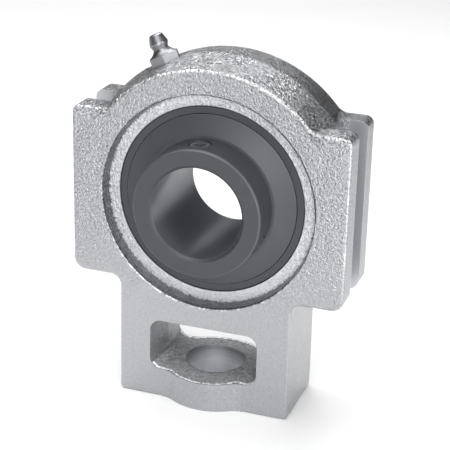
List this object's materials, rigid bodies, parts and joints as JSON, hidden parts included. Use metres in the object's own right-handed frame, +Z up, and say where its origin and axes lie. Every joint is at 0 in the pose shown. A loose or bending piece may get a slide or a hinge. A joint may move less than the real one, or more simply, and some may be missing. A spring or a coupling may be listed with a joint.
{
  "type": "take up bearing unit",
  "caption": "Slotted cast take-up bearing unit with side guide grooves, a slotted foot for the adjusting rod, a self-aligning ball bearing insert and a grease nipple.",
  "frame": {"origin": "centre of the ball row, on the shaft axis", "axes": "+Z up, from the slotted foot towards the arch; +Y along the shaft, away from the set screws; +X to the right seen from the set screw side"},
  "size_m": [0.102, 0.0451, 0.1341],
  "materials": {
    "casting": "zinc plated over a sandy as-cast skin, machined grooves and seat",
    "black_steel": "black oxide on turned bearing steel",
    "slinger_steel": "black oxide on pressed sheet",
    "screw_steel": "black oxide, satin",
    "ball_steel": "polished bearing steel",
    "cage_steel": "plain pressed steel strip",
    "seal_rubber": "matte black nitrile over a steel insert",
    "plated_steel": "bright zinc plated turned steel",
    "spring_steel": "drawn spring wire"
  },
  "bodies": {
    "housing": {"housing": "casting", "grease_nipple": "plated_steel", "nipple_spring": "spring_steel"},
    "outer_ring": {"outer_ring": "black_steel", "seal_front": "seal_rubber", "seal_rear": "seal_rubber"},
    "inner_ring": {"inner_ring": "black_steel", "slinger_front": "slinger_steel", "slinger_rear": "slinger_steel"},
    "cage": {"cage_front": "cage_steel", "cage_rear": "cage_steel", "cage_rivets": "cage_steel"},
    "set_screw_1": {"set_screw_1": "screw_steel"},
    "set_screw_2": {"set_screw_2": "screw_steel"},
    "nipple_ball": {"nipple_ball": "ball_steel"},
    "ball_1": {"ball_1": "ball_steel"},
    "ball_2": {"ball_2": "ball_steel"},
    "ball_3": {"ball_3": "ball_steel"},
    "ball_4": {"ball_4": "ball_steel"},
    "ball_5": {"ball_5": "ball_steel"},
    "ball_6": {"ball_6": "ball_steel"},
    "ball_7": {"ball_7": "ball_steel"},
    "ball_8": {"ball_8": "ball_steel"},
    "ball_9": {"ball_9": "ball_steel"}
  },
  "joints": [
    {"name": "self_align", "type": "hinge", "parent": "housing", "child": "outer_ring", "pos_m": [0, 0, 0], "axis": [1, 0, 0], "range_deg": [-3, 3]},
    {"name": "shaft_spin", "type": "hinge", "parent": "outer_ring", "child": "inner_ring", "pos_m": [0, 0, 0], "axis": [0, 1, 0], "continuous": true},
    {"name": "cage_spin", "type": "hinge", "parent": "outer_ring", "child": "cage", "pos_m": [0, 0, 0], "axis": [0, 1, 0], "continuous": true},
    {"name": "ball_1_spin", "type": "hinge", "parent": "cage", "child": "ball_1", "pos_m": [0, 0, 0.02675], "axis": [0, 1, 0], "continuous": true},
    {"name": "ball_2_spin", "type": "hinge", "parent": "cage", "child": "ball_2", "pos_m": [-0.01719, 0, 0.02049], "axis": [0, 1, 0], "continuous": true},
    {"name": "ball_3_spin", "type": "hinge", "parent": "cage", "child": "ball_3", "pos_m": [-0.02634, 0, 0.00465], "axis": [0, 1, 0], "continuous": true},
    {"name": "ball_4_spin", "type": "hinge", "parent": "cage", "child": "ball_4", "pos_m": [-0.02317, 0, -0.01337], "axis": [0, 1, 0], "continuous": true},
    {"name": "ball_5_spin", "type": "hinge", "parent": "cage", "child": "ball_5", "pos_m": [-0.00915, 0, -0.02514], "axis": [0, 1, 0], "continuous": true},
    {"name": "ball_6_spin", "type": "hinge", "parent": "cage", "child": "ball_6", "pos_m": [0.00915, 0, -0.02514], "axis": [0, 1, 0], "continuous": true},
    {"name": "ball_7_spin", "type": "hinge", "parent": "cage", "child": "ball_7", "pos_m": [0.02317, 0, -0.01337], "axis": [0, 1, 0], "continuous": true},
    {"name": "ball_8_spin", "type": "hinge", "parent": "cage", "child": "ball_8", "pos_m": [0.02634, 0, 0.00465], "axis": [0, 1, 0], "continuous": true},
    {"name": "ball_9_spin", "type": "hinge", "parent": "cage", "child": "ball_9", "pos_m": [0.01719, 0, 0.02049], "axis": [0, 1, 0], "continuous": true},
    {"name": "set_screw_1_travel", "type": "slide", "parent": "inner_ring", "child": "set_screw_1", "axis": [-0.0523, 0, 0.9986], "range_m": [-0.0015, 0.003]},
    {"name": "set_screw_2_travel", "type": "slide", "parent": "inner_ring", "child": "set_screw_2", "axis": [0.891, 0, -0.454], "range_m": [-0.0015, 0.003]},
    {"name": "check_ball_slide", "type": "slide", "parent": "housing", "child": "nipple_ball", "axis": [0.4226, 0, -0.9063], "range_m": [0, 0.001], "stiffness_N_per_m": 300, "springref_m": -0.003, "deforming": ["nipple_spring"]}
  ],
  "couplings": [
    {"joint": "cage_spin", "follows": "shaft_spin", "ratio": 0.39614},
    {"joint": "ball_1_spin", "follows": "shaft_spin", "ratio": -2.3033},
    {"joint": "ball_2_spin", "follows": "shaft_spin", "ratio": -2.3033},
    {"joint": "ball_3_spin", "follows": "shaft_spin", "ratio": -2.3033},
    {"joint": "ball_4_spin", "follows": "shaft_spin", "ratio": -2.3033},
    {"joint": "ball_5_spin", "follows": "shaft_spin", "ratio": -2.3033},
    {"joint": "ball_6_spin", "follows": "shaft_spin", "ratio": -2.3033},
    {"joint": "ball_7_spin", "follows": "shaft_spin", "ratio": -2.3033},
    {"joint": "ball_8_spin", "follows": "shaft_spin", "ratio": -2.3033},
    {"joint": "ball_9_spin", "follows": "shaft_spin", "ratio": -2.3033}
  ]
}
